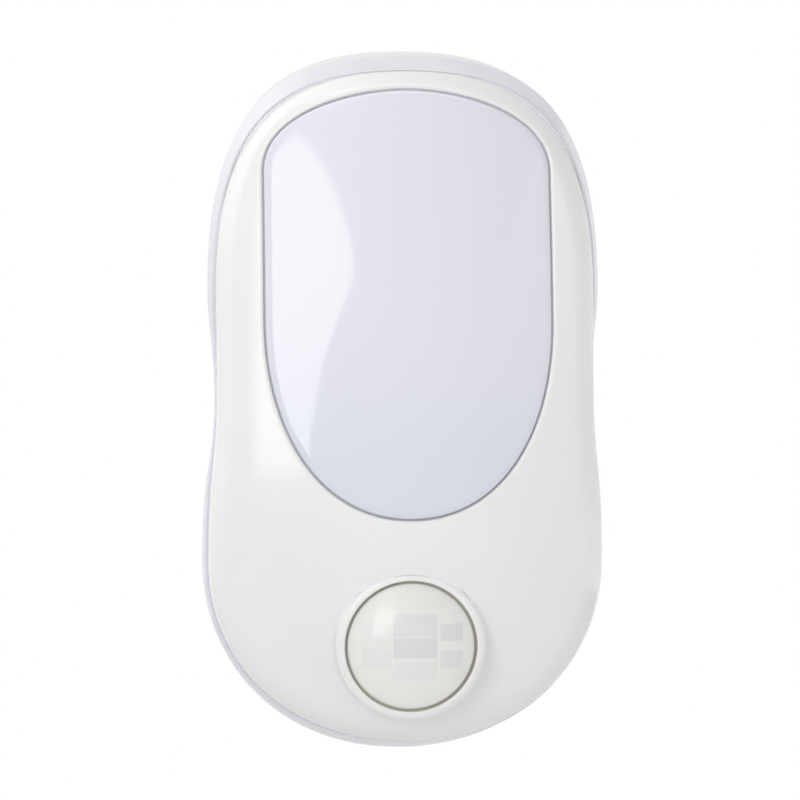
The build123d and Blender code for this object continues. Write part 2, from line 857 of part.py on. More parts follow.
def make_driver_board():
    board = block(
        -BOARD_HALF_WIDTH,
        BOARD_HALF_WIDTH,
        -BOARD_BOTTOM,
        BOARD_TOP,
        board_back,
        board_front,
    )
    board = board.fillet(BOARD_CORNER, board.edges().filter_by(Axis.Z))
    tab = block(
        BOARD_HALF_WIDTH - 3,
        board_tab_x,
        SWITCH_Y - BOARD_TAB_HALF,
        SWITCH_Y + BOARD_TAB_HALF,
        board_back,
        board_front,
    )
    board = board + tab
    for x, y in stack_points:
        hole = STACK_SCREW_RADIUS + SCREW_FIT
        board = board - cylinder(x, y, board_back - 1, board_front + 1, hole)
    for x in pin_xs:
        hole = WIRE_RADIUS + SCREW_FIT
        board = board - cylinder(x, PLUG_RISE, board_back - 1, board_front + 1, hole)
    return board


def reflector_outline(inset, z0, z1):
    return block(
        -REFLECTOR_HALF_WIDTH + inset,
        REFLECTOR_HALF_WIDTH - inset,
        -REFLECTOR_BOTTOM + inset,
        REFLECTOR_TOP - inset,
        z0,
        z1,
    )


def make_reflector():
    tray = reflector_outline(0, reflector_back, reflector_front + REFLECTOR_RIM)
    tray = tray.fillet(BOARD_CORNER * 2, tray.edges().filter_by(Axis.Z))
    room = reflector_outline(
        REFLECTOR_RIM_WALL, reflector_front, reflector_front + REFLECTOR_RIM + 1
    )
    room = room.fillet(BOARD_CORNER * 2 - REFLECTOR_RIM_WALL, room.edges().filter_by(Axis.Z))
    shape = tray - room
    for x, y in stack_points:
        shape = shape + cylinder(x, y, board_front, reflector_back + 0.5, REFLECTOR_LEG_RADIUS)
    for x, y in stack_points:
        hole = STACK_SCREW_RADIUS + SCREW_FIT
        shape = shape - cylinder(x, y, board_front - 1, reflector_front + 1, hole)
    for x in (-LED_PITCH_X / 4, LED_PITCH_X / 4):
        hole = LEAD_WIRE_RADIUS + SLIDE_FIT
        shape = shape - cylinder(x, led_lead_y, reflector_back - 1, led_front + 1, hole)
    return shape


led_lead_y = -REFLECTOR_BOTTOM + REFLECTOR_RIM_WALL + 2.5


def make_led_board():
    inset = REFLECTOR_RIM_WALL + LED_BOARD_MARGIN
    board = reflector_outline(inset, reflector_front, led_front)
    board = board.fillet(BOARD_CORNER, board.edges().filter_by(Axis.Z))
    for x, y in stack_points:
        hole = STACK_SCREW_RADIUS + SCREW_FIT
        board = board - cylinder(x, y, reflector_front - 1, led_front + 1, hole)
    for x in (-LED_PITCH_X / 4, LED_PITCH_X / 4):
        hole = LEAD_WIRE_RADIUS + SCREW_FIT
        board = board - cylinder(x, led_lead_y, reflector_front - 1, led_front + 1, hole)
    return board


led_centre_y = (REFLECTOR_TOP - REFLECTOR_BOTTOM) / 2


def make_leds():
    w, h, t = LED_SIZE
    chips = []
    for i in range(LED_COLUMNS):
        for j in range(LED_ROWS):
            x = (i - (LED_COLUMNS - 1) / 2) * LED_PITCH_X
            y = led_centre_y + (j - (LED_ROWS - 1) / 2) * LED_PITCH_Y
            chip = block(x - w / 2, x + w / 2, y - h / 2, y + h / 2, led_front, led_front + t)
            lens = cylinder(x, y, led_front + t - 0.15, led_front + t + 1, h * 0.36)
            chips.append(one(chip - lens))
    return Compound(chips)


def make_led_leads():
    return Compound(
        [
            cylinder(x, led_lead_y, board_front, led_front, LEAD_WIRE_RADIUS)
            for x in (-LED_PITCH_X / 4, LED_PITCH_X / 4)
        ]
    )


# ---- components on the driver board: centre, size ----
FILM_CAP = ((-9.0, 24.0), (16.0, 7.0, 6.2))
BRIDGE = ((9.0, 31.0), (6.4, 4.8, 2.4))
CHIP = ((-7.0, -12.0), (5.0, 4.0, 1.6))
CHOKE = ((-14.5, 13.5), (7.0, 7.0, 4.2))
BULK_CAP = ((8.0, 20.0), 3.15, 12.0)
SMALL_CAP = ((8.0, -6.5), 2.5, 8.0)
FUSE = ((0.0, 12.0), 1.5, 8.0)
FUSE_LEAD = 0.4
SMD_ROWS = 3
SMD_COLUMNS = 4
SMD_SIZE = (1.6, 0.8, 0.5)
SMD_PITCH = (3.2, 2.6)
SMD_AT = (3.0, -14.0)


def component_box(spec, round_by):
    (x, y), (w, h, t) = spec
    shape = block(x - w / 2, x + w / 2, y - h / 2, y + h / 2, board_front, board_front + t)
    return shape.fillet(round_by, shape.faces().sort_by(Axis.Z)[-1].edges())


def lying_can(spec):
    """An electrolytic capacitor that lies on the board along X."""
    (x, y), radius, length = spec
    axis = Plane((x - length / 2, y, board_front + radius + 0.1), z_dir=(1, 0, 0))
    can = Solid.make_cylinder(radius, length, axis)
    ends = can.edges().filter_by(GeomType.CIRCLE)
    can = can.fillet(0.5, ends)
    crimp = Plane((x - length / 2 + 2, y, board_front + radius + 0.1), z_dir=(1, 0, 0))
    groove = Solid.make_torus(radius + 0.25, 0.6, crimp)
    return can - groove


def make_fuse():
    """A fusible resistor: a barrel on bent leads."""
    (x, y), radius, length = FUSE
    z = board_front + radius + 0.4
    barrel = Solid.make_cylinder(radius, length, Plane((x - length / 2, y, z), z_dir=(1, 0, 0)))
    barrel = barrel.fillet(0.5, barrel.edges().filter_by(GeomType.CIRCLE))
    reach = length / 2 + 1.5
    bar = Solid.make_cylinder(
        FUSE_LEAD, 2 * reach, Plane((x - reach, y, z), z_dir=(1, 0, 0))
    )
    shape = barrel + bar
    for side in (-1, 1):
        leg_x = x + side * (reach - FUSE_LEAD)
        shape = shape + cylinder(leg_x, y, board_front, z, FUSE_LEAD)
    return shape


def make_small_parts():
    w, h, t = SMD_SIZE
    x0, y0 = SMD_AT
    return Compound(
        [
            block(
                x0 + i * SMD_PITCH[0] - w / 2,
                x0 + i * SMD_PITCH[0] + w / 2,
                y0 - j * SMD_PITCH[1] - h / 2,
                y0 - j * SMD_PITCH[1] + h / 2,
                board_front,
                board_front + t,
            )
            for i in range(SMD_COLUMNS)
            for j in range(SMD_ROWS)
        ]
    )


def make_switch_body():
    w, h, t = SWITCH_BODY
    shape = block(
        switch_body_x,
        switch_body_x + w,
        SWITCH_Y - h / 2,
        SWITCH_Y + h / 2,
        board_front,
        board_front + t,
    )
    reach = FINGER[1] / 2 + SWITCH_TRAVEL + SLIDE_FIT
    thin = LEVER_HALF + SLIDE_FIT
    groove = block(
        switch_body_x + w - FINGER[0] - SLIDE_FIT,
        switch_body_x + w + 1,
        SWITCH_Y - reach,
        SWITCH_Y + reach,
        finger_z - thin,
        finger_z + thin,
    )
    return shape - groove


def make_mode_slider():
    """A ribbed thumb piece, the keeper behind the wall and its finger."""
    out_x = wall_x - SLIDER_SET_BACK
    keeper_back = keeper_x - KEEPER[2]
    shape = block(
        keeper_back,
        out_x - SLIDER_RIB,
        SWITCH_Y - SLIDER_SIZE[0] / 2,
        SWITCH_Y + SLIDER_SIZE[0] / 2,
        SLIDER_Z - SLIDER_SIZE[1] / 2,
        SLIDER_Z + SLIDER_SIZE[1] / 2,
    )
    for i in range(SLIDER_RIBS):
        y = SWITCH_Y + (i - (SLIDER_RIBS - 1) / 2) * SLIDER_RIB_PITCH
        shape = shape + block(
            keeper_x,
            out_x,
            y - SLIDER_RIB / 2,
            y + SLIDER_RIB / 2,
            SLIDER_Z - SLIDER_SIZE[1] / 2,
            SLIDER_Z + SLIDER_SIZE[1] / 2,
        )
    keeper = block(
        keeper_back,
        keeper_x,
        SWITCH_Y - KEEPER[0] / 2,
        SWITCH_Y + KEEPER[0] / 2,
        SLIDER_Z - KEEPER[1] / 2,
        SLIDER_Z + KEEPER[1] / 2,
    )
    finger = block(
        finger_tip_x,
        keeper_x,
        SWITCH_Y - FINGER[1] / 2,
        SWITCH_Y + FINGER[1] / 2,
        finger_z - LEVER_HALF,
        finger_z + LEVER_HALF,
    )
    return shape + keeper + finger


def make_pin(x):
    """A brass pin: rounded tip, thinner neck, collar and soldered tail."""
    z_tip = plug_z(PIN_LENGTH)
    z_bare = plug_z(SLEEVE_LENGTH)
    tip = cylinder(x, PLUG_RISE, z_tip, z_bare, PIN_RADIUS)
    end = tip.edges().sort_by(Axis.Z)[0]
    tip = tip.fillet(PIN_TIP_ROUND, [end])
    neck = cylinder(x, PLUG_RISE, z_bare - 0.5, plug_z(-PIN_TAIL), PIN_NECK_RADIUS)
    z_collar = boss_end_z + BOSS_END + FACE_CLEARANCE
    collar = cylinder(x, PLUG_RISE, z_collar, z_collar + PIN_COLLAR, PIN_COLLAR_RADIUS)
    return tip + neck + collar


def make_pin_sleeve(x):
    outer = cylinder(x, PLUG_RISE, plug_z(SLEEVE_LENGTH) + FACE_CLEARANCE, plug_z(0), SLEEVE_RADIUS)
    root = cylinder(x, PLUG_RISE, plug_z(0), boss_end_z + BOSS_END, SLEEVE_ROOT_RADIUS)
    bore = cylinder(
        x, PLUG_RISE, plug_z(SLEEVE_LENGTH) - 1, boss_end_z + BOSS_END + 1, PIN_NECK_RADIUS + 0.02
    )
    return outer + root - bore


def make_pin_carrier():
    z0 = boss_end_z + BOSS_END + FACE_CLEARANCE
    shape = Solid.extrude(
        boss_face(BOSS_WALL + CARRIER_FIT, z0), Vector(0, 0, CARRIER_THICKNESS)
    )
    for x in pin_xs:
        seat = PIN_COLLAR_RADIUS + PIN_FIT
        shape = shape - cylinder(x, PLUG_RISE, z0 - 1, z0 + PIN_COLLAR + PIN_FIT, seat)
        hole = PIN_NECK_RADIUS + 0.02
        shape = shape - cylinder(x, PLUG_RISE, z0, z0 + CARRIER_THICKNESS + 1, hole)
    return shape


def make_mains_wire(x):
    """A wire from a pin's tail to the driver board."""
    return cylinder(x, PLUG_RISE, plug_z(-PIN_TAIL), board_front, WIRE_RADIUS)


def make_sensor_wires():
    """Three wires between the driver board and the sensor board."""
    y = pir_y + SENSOR_BOARD_SIZE[1] / 2 - 2.0
    return Compound(
        [
            cylinder(i * SENSOR_WIRE_PITCH, y, board_front, SENSOR_BOARD_Z, LEAD_WIRE_RADIUS)
            for i in (-1, 0, 1)
        ]
    )


pieces = {
    "rear_housing": make_rear_housing(),
    "plug_housing": make_plug_housing(),
    "diffuser": make_diffuser(),
    "front_cover": make_front_cover(),
    "pir_lens": make_pir_lens(),
    "pir_lens_holder": make_pir_holder(),
    "pir_sensor": make_pir_sensor(),
    "pir_sensor_window": make_pir_window(),
    "pir_sensor_leads": make_sensor_leads(),
    "light_sensor": make_light_sensor(),
    "sensor_board": make_sensor_board(),
    "sensor_board_screws": make_sensor_screws(),
    "sensor_wires": make_sensor_wires(),
    "driver_board": make_driver_board(),
    "film_capacitor": component_box(FILM_CAP, 0.6),
    "bridge_rectifier": component_box(BRIDGE, 0.3),
    "control_chip": component_box(CHIP, 0.2),
    "choke": component_box(CHOKE, 1.0),
    "bulk_capacitor": lying_can(BULK_CAP),
    "filter_capacitor": lying_can(SMALL_CAP),
    "fusible_resistor": make_fuse(),
    "chip_resistors": make_small_parts(),
    "reflector": make_reflector(),
    "led_board": make_led_board(),
    "led_chips": make_leds(),
    "led_wires": make_led_leads(),
    "stack_screws": make_stack_screws(),
    "case_screws": make_case_screws(),
    "switch_body": make_switch_body(),
    "mode_slider": make_mode_slider(),
    "pin_carrier": make_pin_carrier(),
    "plug_pin_left": make_pin(pin_xs[1]),
    "plug_pin_right": make_pin(pin_xs[0]),
    "pin_sleeve_left": make_pin_sleeve(pin_xs[1]),
    "pin_sleeve_right": make_pin_sleeve(pin_xs[0]),
    "live_wire": make_mains_wire(pin_xs[1]),
    "neutral_wire": make_mains_wire(pin_xs[0]),
}

placing = Location((0, -BOSS_DEPTH, -PLUG_RISE)) * Location((0, 0, 0), (90, 0, 0))

os.makedirs("parts", exist_ok=True)
for name, shape in pieces.items():
    solids = shape.solids()
    body = solids[0] if len(solids) == 1 else Compound(solids)
    export_step(placing * body, "parts/" + name + ".step")
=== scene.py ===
import bpy
import math
import numpy as np
from mathutils import Matrix, Vector
from mathutils.geometry import delaunay_2d_cdt


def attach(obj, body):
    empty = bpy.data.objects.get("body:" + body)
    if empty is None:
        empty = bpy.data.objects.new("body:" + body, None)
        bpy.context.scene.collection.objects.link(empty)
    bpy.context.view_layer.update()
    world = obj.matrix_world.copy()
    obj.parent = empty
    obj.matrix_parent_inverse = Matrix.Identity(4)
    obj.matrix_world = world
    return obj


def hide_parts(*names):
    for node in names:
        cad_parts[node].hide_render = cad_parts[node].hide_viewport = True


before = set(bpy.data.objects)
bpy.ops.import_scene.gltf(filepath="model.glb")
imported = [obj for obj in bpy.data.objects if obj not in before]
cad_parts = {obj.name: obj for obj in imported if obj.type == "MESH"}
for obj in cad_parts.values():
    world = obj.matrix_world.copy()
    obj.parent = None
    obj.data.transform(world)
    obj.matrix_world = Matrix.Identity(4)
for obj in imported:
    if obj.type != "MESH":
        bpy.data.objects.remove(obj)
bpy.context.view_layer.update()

# The lamp's drawing frame, in millimetres: x right, y up the wall from the
# middle of the body, z out from the wall. The part's frame is in metres.
MM = 0.001
BOSS = 18.0  # how far the plug's end lies behind the body
RISE = 10.0  # how far the plug sits above the middle of the body

# half sizes of the body's outline: top, upper bulge, waist, lower bulge, bottom
SEAM = np.array((63.6, 35.9, 34.6, 36.7, 63.0))
COVER = SEAM - np.array((2.7, 1.45, 0.3, 0.8, 1.6))
UPPER_Y, WAIST_Y, LOWER_Y = 21.0, 1.0, -29.0
SEAM_Z = 9.55
SHOULDER_Z = 14.4
SHELL_WALL = 1.8

# the front face's crown, and the line where cover and band part
APEX_Y, APEX_Z = -18.0, 33.0
CROWN_UP, CROWN_DOWN, CROWN_ACROSS = 210.0, 90.0, 68.0
PARTING_Y, PARTING_Z, PARTING_RADIUS = -14.0, 11.5, 1040.0
EDGE_RADIUS = 4.5
BEVEL = 0.25

# the window, and the pad that fills it
WINDOW_HALF_WIDTH = 26.0
WINDOW_TOP = COVER[0] - 3.6
WINDOW_CORNER = COVER[0] - 18.4
WINDOW_FOOT = WINDOW_CORNER - 27.0
WINDOW_TIP = COVER[0] - 80.8
OPENING_GROW, PAD_GROW = 0.25, -0.08
LIP = 0.8
PAD_PROUD = 0.15
PAD_ROLL, PAD_ROLL_FALL = 1.4, 7.0
PAD_EDGE = 0.25
GROOVE_DEPTH = 0.75
OPENING_DEPTH = 2.2

# the motion sensor's collar and dome
PIR_Y = -COVER[4] + 18.4
PIR_Z = 31.2
PIR_TILT = math.radians(5)
BORE = 12.0
COLLAR = 13.6
COLLAR_RIM = COLLAR + 0.1
COLLAR_FOOT = 0.6
COLLAR_HOLE = 13.1
COLLAR_DEPTH = 7.0
DOME = 11.45
DOME_RADIUS = 17.0
DOME_EDGE = -0.44
DOME_ROLL = 0.3
FLANGE_Z = -1.3

BODY_COUNTS = (84, 26, 36, 72)
WINDOW_COUNTS = (46, 36, 64)
TURNED_COUNT = 160
# distances from an edge at which its rounding gets a ring of points
RINGS = (0.06, 0.16, 0.32, 0.55, 0.9, 1.35, 1.9, 2.6, 3.4, 4.4)


def row(p):
    """Points of the drawing frame in the part's frame."""
    p = np.asarray(p, float)
    return np.stack((p[..., 0], -BOSS - p[..., 2], p[..., 1] - RISE), -1) * MM


def turned(n):
    """Directions of the drawing frame in the part's frame."""
    n = np.asarray(n, float)
    return np.stack((n[..., 0], -n[..., 2], n[..., 1]), -1)


# ---------------------------------------------------------------- outlines


def bezier(curve, count):
    t = (np.arange(count) / count)[:, None]
    a, b, c, d = (np.array(p, float) for p in curve)
    return (1 - t) ** 3 * a + 3 * (1 - t) ** 2 * t * b + 3 * (1 - t) * t * t * c + t**3 * d


def body_curves(keys):
    """The right half of the peanut outline, from its top to its bottom."""
    top, upper, waist, lower, bottom = keys
    crest, dip = top - UPPER_Y, UPPER_Y - WAIST_Y
    hip, foot = WAIST_Y - LOWER_Y, bottom + LOWER_Y
    return (
        ((0, top), (0.58 * upper, top), (upper, UPPER_Y + 0.85 * crest), (upper, UPPER_Y)),
        (
            (upper, UPPER_Y),
            (upper, UPPER_Y - 0.32 * dip),
            (waist, WAIST_Y + 0.45 * dip),
            (waist, WAIST_Y),
        ),
        (
            (waist, WAIST_Y),
            (waist, WAIST_Y - 0.36 * hip),
            (lower, LOWER_Y + 0.58 * hip),
            (lower, LOWER_Y),
        ),
        ((lower, LOWER_Y), (lower, LOWER_Y - 0.55 * foot), (0.62 * lower, -bottom), (0, -bottom)),
    )


def window_curves(grow):
    """The right half of the window's outline, grown outwards by this much."""
    w, top, tip = WINDOW_HALF_WIDTH + grow, WINDOW_TOP + grow, WINDOW_TIP - grow
    corner, foot = WINDOW_CORNER, WINDOW_FOOT
    third = (corner - foot) / 3
    return (
        ((0, top), (0.40 * w, top), (w, corner + 0.70 * (top - corner)), (w, corner)),
        ((w, corner), (w, corner - third), (w, foot + third), (w, foot)),
        ((w, foot), (w, foot - 0.53 * (foot - tip)), (0.66 * w, tip), (0, tip)),
    )


def loop(curves, counts):
    """A closed loop, clockwise from the top: the right half, then its mirror."""
    right = np.concatenate([bezier(c, n) for c, n in zip(curves, counts)])
    last = np.array([curves[-1][-1]], float)
    left = (right[1:] * (-1, 1))[::-1]
    return np.concatenate((right, last, left))


def outward(points):
    """Unit normals of a clockwise loop, pointing out of it."""
    t = np.roll(points, -1, 0) - np.roll(points, 1, 0)
    n = np.stack((-t[:, 1], t[:, 0]), 1)
    return n / np.linalg.norm(n, axis=1, keepdims=True)


def distance(points, line):
    """Signed distance from a closed clockwise loop, positive inside."""
    a, b = line, np.roll(line, -1, 0)
    e = b - a
    length = (e**2).sum(1)
    best = np.full(len(points), 1e9)
    sign = np.ones(len(points))
    batch = 2000
    for i in range(0, len(points), batch):
        p = points[i : i + batch, None, :]
        t = np.clip(((p - a) * e).sum(2) / length, 0, 1)
        v = p - (a + e * t[..., None])
        d2 = (v**2).sum(2)
        k = d2.argmin(1)
        rows = np.arange(len(k))
        cross = e[k, 0] * v[rows, k, 1] - e[k, 1] * v[rows, k, 0]
        best[i : i + batch] = np.sqrt(d2[rows, k])
        sign[i : i + batch] = np.where(cross < 0, 1, -1)
    return best * sign


def circle(radius, count):
    """A circle of points round the sensor's axis."""
    a = np.arange(count) / count * 2 * math.pi
    return np.stack((radius * np.sin(a), PIR_Y + radius * np.cos(a)), 1)


seam_line = loop(body_curves(SEAM), BODY_COUNTS)
cover_line = loop(body_curves(COVER), BODY_COUNTS)
opening_line = loop(window_curves(OPENING_GROW), WINDOW_COUNTS)
pad_line = loop(window_curves(PAD_GROW), WINDOW_COUNTS)


# ---------------------------------------------------------------- surfaces


def bowed(t, radius):
    return t * t / (2 * radius) * (1 + t * t / (4 * radius * radius))


def crown(p):
    """Height of the crowned front face."""
    t = p[:, 1] - APEX_Y
    return APEX_Z - bowed(t, np.where(t > 0, CROWN_UP, CROWN_DOWN)) - bowed(p[:, 0], CROWN_ACROSS)


def parting(y):
    """Height of the line where the cover meets the band."""
    t = y - PARTING_Y
    return PARTING_Z + PARTING_RADIUS - np.sqrt(PARTING_RADIUS**2 - t * t)


def rounding(d, radius):
    """How far a rounded edge of this radius falls at distance d inside it."""
    left = np.clip(radius - np.maximum(d, 0), 0, radius)
    return radius - np.sqrt(radius * radius - left * left)


def cover_height(p):
    z = crown(p) - rounding(distance(p, cover_line), EDGE_RADIUS)
    z = z - rounding(-distance(p, opening_line), LIP)
    # a small fillet where the cover climbs onto the sensor's collar
    r = np.hypot(p[:, 0], p[:, 1] - PIR_Y)
    rim = PIR_Z + (p[:, 1] - PIR_Y) * math.tan(PIR_TILT)
    room = np.clip(rim - COLLAR_FOOT - z, 0, COLLAR_FOOT)
    rise = rounding(r - COLLAR, COLLAR_FOOT)
    return z + np.minimum(rise, room) * np.where(r > COLLAR - 0.01, 1, 0)


def pad_height(p):
    d = distance(p, pad_line)
    roll = np.clip(PAD_ROLL - d, 0, PAD_ROLL)
    return crown(p) + PAD_PROUD - roll * roll / PAD_ROLL_FALL - rounding(d, PAD_EDGE)


def normals_of(height, p):
    step = 0.02
    dx, dy = np.array((step, 0)), np.array((0, step))
    gx = (height(p + dx) - height(p - dx)) / (2 * step)
    gy = (height(p + dy) - height(p - dy)) / (2 * step)
    n = np.stack((-gx, -gy, np.ones(len(p))), 1)
    return n / np.linalg.norm(n, axis=1, keepdims=True)


# ---------------------------------------------------------------- meshes


def place(name, mesh):
    """A new object of this mesh, at the origin."""
    obj = bpy.data.objects.new(name, mesh)
    bpy.context.collection.objects.link(obj)
    return obj


class Shell:
    """Collects vertices in the drawing frame, with their normals and faces."""

    def __init__(self):
        self.p, self.n, self.f = [], [], []

    def ring(self, points, normals):
        """Adds vertices, and says where they start and how many they are."""
        start = len(self.p)
        self.p.extend(np.asarray(points, float))
        self.n.extend(np.asarray(normals, float))
        return start, len(points)

    def bridge(self, a, b, flip=False):
        """Quads between two closed rings of equal count."""
        (i, n), (j, _) = a, b
        for k in range(n):
            m = (k + 1) % n
            quad = (i + k, i + m, j + m, j + k)
            self.f.append(quad[::-1] if flip else quad)

    def sheet(self, height, loops, clouds, keep, edges):
        """The surface of this height between closed lines, and its edge heights."""
        points = scatter(loops, clouds, keep)
        points, faces = triangulate(points, loops)
        wanted = keep(np.array([points[list(t)].mean(0) for t in faces]), 0)
        z = height(points)
        n = normals_of(height, points)
        start = 0
        for normals in edges:
            n[start : start + len(normals)] = normals
            start += len(normals)
        self.ring(with_z(points, z), n)
        for t, good in zip(faces, wanted):
            if good:
                a, b, c = (points[i] for i in t)
                up = (b[0] - a[0]) * (c[1] - a[1]) - (b[1] - a[1]) * (c[0] - a[0]) > 0
                self.f.append(tuple(t) if up else tuple(t)[::-1])
        return z

    def finish(self, name):
        mesh = bpy.data.meshes.new(name)
        verts = [tuple(v) for v in row(np.array(self.p))]
        mesh.from_pydata(verts, [], [tuple(int(i) for i in f) for f in self.f])
        mesh.validate()
        mesh.shade_smooth()
        normals = [tuple(n) for n in turned(np.array(self.n))]
        mesh.normals_split_custom_set_from_vertices(normals)
        return place(name, mesh)


def with_z(p, z):
    return np.column_stack((p, np.broadcast_to(z, len(p))))


def flat(n, z=0.0):
    """Outline normals as directions, leaning forward by this much."""
    v = np.column_stack((n, np.full(len(n), z)))
    return v / np.linalg.norm(v, axis=1, keepdims=True)


def scatter(loops, clouds, keep):
    """Loop points, then each cloud's points that stay clear of those before."""
    cell = 0.5
    grid = {}
    points = []

    def near(x, y, gap):
        reach = int(gap / cell) + 1
        cx, cy = int(x // cell), int(y // cell)
        for i in range(cx - reach, cx + reach + 1):
            for j in range(cy - reach, cy + reach + 1):
                for q in grid.get((i, j), ()):
                    if (q[0] - x) ** 2 + (q[1] - y) ** 2 < gap * gap:
                        return True
        return False

    def put(x, y):
        grid.setdefault((int(x // cell), int(y // cell)), []).append((x, y))
        points.append((x, y))

    for line in loops:
        for x, y in line:
            put(x, y)
    for cloud, gap in clouds:
        for x, y in cloud[keep(cloud, gap)]:
            if not near(x, y, gap):
                put(x, y)
    return np.array(points)


def triangulate(points, loops):
    edges = []
    start = 0
    for line in loops:
        n = len(line)
        edges += [(start + k, start + (k + 1) % n) for k in range(n)]
        start += n
    out = delaunay_2d_cdt([Vector(p) for p in points], edges, [], 0, 1e-6)
    return np.array([tuple(v) for v in out[0]]), out[2]


def grid_points(step, low, high):
    """Points on a triangular grid between these heights."""
    across = np.arange(-38, 38.01, step)
    rows = []
    for i, y in enumerate(np.arange(low, high, step * 0.866)):
        xs = across + (step / 2 if i % 2 else 0)
        rows.append(np.column_stack((xs, np.full(len(xs), y))))
    return np.concatenate(rows)


def make_cover():
    """The front cover: its crowned face, outer wall and window opening."""
    shell = Shell()
    out_cover, out_window = outward(cover_line), outward(opening_line)
    clouds = []
    last = 0
    for d in RINGS:
        gap = (d - last) * 0.55
        clouds.append((cover_line - out_cover * d, gap))
        if d < 3:
            clouds.append((opening_line + out_window * d, gap))
            clouds.append((circle(COLLAR + d, 150), gap))
        last = d
    clouds.append((circle(COLLAR, 150), 0.2))
    clouds.append((grid_points(1.7, -62, 62), 1.1))

    def keep(p, gap):
        r = np.hypot(p[:, 0], p[:, 1] - PIR_Y)
        clear = r > COLLAR_HOLE + (0.1 if gap else -0.05)
        inside = (distance(p, cover_line) > gap * 0.8) & clear
        return inside & (distance(p, opening_line) < -gap * 0.8)

    loops = (cover_line, opening_line, circle(COLLAR_HOLE, 150))
    edges = (flat(out_cover, 0.12), flat(-out_window, 0.15))
    z = shell.sheet(cover_height, loops, clouds, keep, edges)
    # the outer wall down to the parting line, with a small bevel there
    low = parting(cover_line[:, 1]) + 0.02
    behind = cover_line - out_cover * SHELL_WALL
    top = (0, len(cover_line))
    wall = shell.ring(with_z(cover_line, low + 0.23), flat(out_cover))
    under = shell.ring(with_z(cover_line - out_cover * BEVEL, low), flat(out_cover, -1.5))
    back = shell.ring(with_z(behind, low), flat(out_cover * 0.01, -1))
    inner = shell.ring(with_z(behind, low + 0.98), flat(-out_cover))
    shell.bridge(top, wall)
    shell.bridge(wall, under)
    shell.bridge(under, back)
    shell.bridge(back, inner)
    # the window opening's wall
    first, count = len(cover_line), len(opening_line)
    z_edge = z[first : first + count]
    rim = shell.ring(with_z(opening_line, z_edge - 0.1), flat(-out_window))
    deep = shell.ring(with_z(opening_line, z_edge - OPENING_DEPTH), flat(-out_window))
    shell.bridge((first, count), rim, flip=True)
    shell.bridge(rim, deep, flip=True)
    return shell.finish("cover_shell")


def make_opal():
    """The opal piece: its window pad and the band round the body."""
    shell = Shell()
    out = outward(pad_line)
    clouds = []
    last = 0
    for d in RINGS[:8]:
        clouds.append((pad_line - out * d, (d - last) * 0.55))
        last = d
    clouds.append((grid_points(2.2, -20, 58), 1.4))

    def keep(p, gap):
        return distance(p, pad_line) > gap * 0.8

    z = shell.sheet(pad_height, (pad_line,), clouds, keep, (flat(out, 0.15),))
    z_edge = z[: len(pad_line)]
    side = shell.ring(with_z(pad_line, z_edge - 0.1), flat(out))
    foot = shell.ring(with_z(pad_line, z_edge - GROOVE_DEPTH), flat(out, 0.5))
    ledge = shell.ring(with_z(opening_line, z_edge - GROOVE_DEPTH), flat(out * 0.3, 1))
    shell.bridge((0, len(pad_line)), side)
    shell.bridge(side, foot)
    shell.bridge(foot, ledge)
    # the band between the housing and the cover
    top_z = parting(seam_line[:, 1])
    levels = 8
    rings, ids = [], []
    for i in range(levels + 1):
        z = SEAM_Z + (top_z - 0.12 - SEAM_Z) * i / levels
        mix = np.clip((z - SEAM_Z) / (SHOULDER_Z - SEAM_Z), 0, 1)[:, None]
        p = seam_line + (cover_line - seam_line) * mix
        rings.append((p, z))
        ids.append(shell.ring(with_z(p, z), flat(outward(p), 0.25)))
    for lower, upper in zip(ids, ids[1:]):
        shell.bridge(upper, lower)
    p, z = rings[-1]
    out = outward(p)
    lip = shell.ring(with_z(p - out * 0.15, z + 0.12), flat(out, 1.5))
    inner = shell.ring(with_z(p - out * SHELL_WALL, z + 0.12), flat(out * 0.01, 1))
    shell.bridge(lip, ids[-1])
    shell.bridge(inner, lip)
    p, z = rings[0]
    out = outward(p)
    low = shell.ring(with_z(p, z), flat(out, -3))
    under = shell.ring(with_z(p - out * SHELL_WALL, z), flat(out * 0.01, -1))
    shell.bridge(low, under)
    return shell.finish("opal_diffuser")


def arc(cx, cz, radius, a0, a1, count):
    """Stations of a rounded corner, from angle a0 to a1 in degrees."""
    out = []
    for i in range(count + 1):
        a = math.radians(a0 + (a1 - a0) * i / count)
        out.append((cx + radius * math.cos(a), cz + radius * math.sin(a), math.cos(a), math.sin(a)))
    return out


